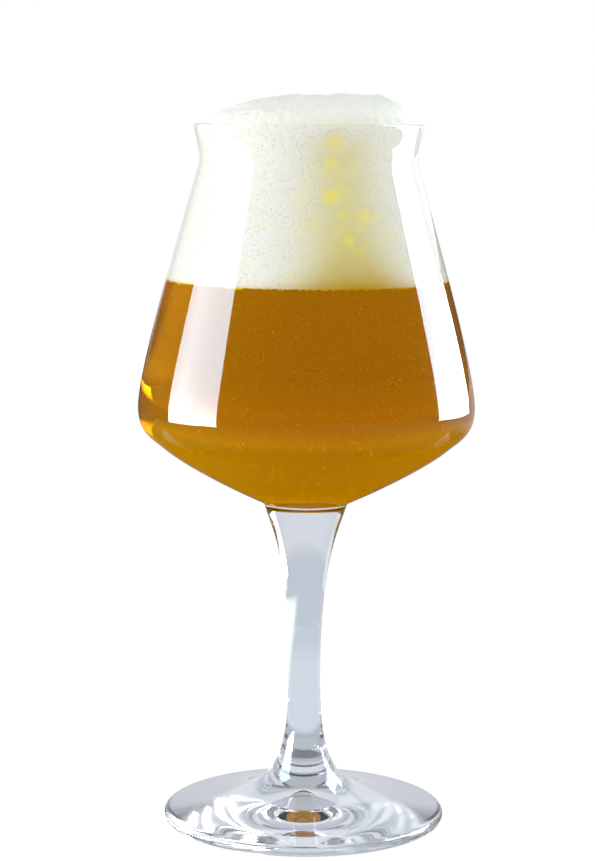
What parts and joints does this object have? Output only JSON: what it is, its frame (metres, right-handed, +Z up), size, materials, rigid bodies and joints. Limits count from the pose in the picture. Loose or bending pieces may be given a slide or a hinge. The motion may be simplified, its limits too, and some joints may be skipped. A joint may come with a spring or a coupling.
{
  "type": "tulip beer glass",
  "caption": "Stemmed tulip beer glass with a pointed belly, a flared lip and a disc foot, filled with amber beer under a tall head of foam.",
  "frame": {"origin": "on the table, under the middle of the foot", "axes": "+Z up along the glass's own axis; +X towards the steep side of the foam's crown"},
  "size_m": [0.095, 0.095, 0.2067],
  "materials": {
    "bowl_glass": "polished",
    "stem_glass": "polished",
    "foot_glass": "polished",
    "amber_beer": "gloss",
    "beer_foam": "matte"
  },
  "bodies": {
    "root": {"bowl": "bowl_glass", "stem": "stem_glass", "foot": "foot_glass", "beer": "amber_beer", "foam_head": "beer_foam"}
  },
  "joints": []
}
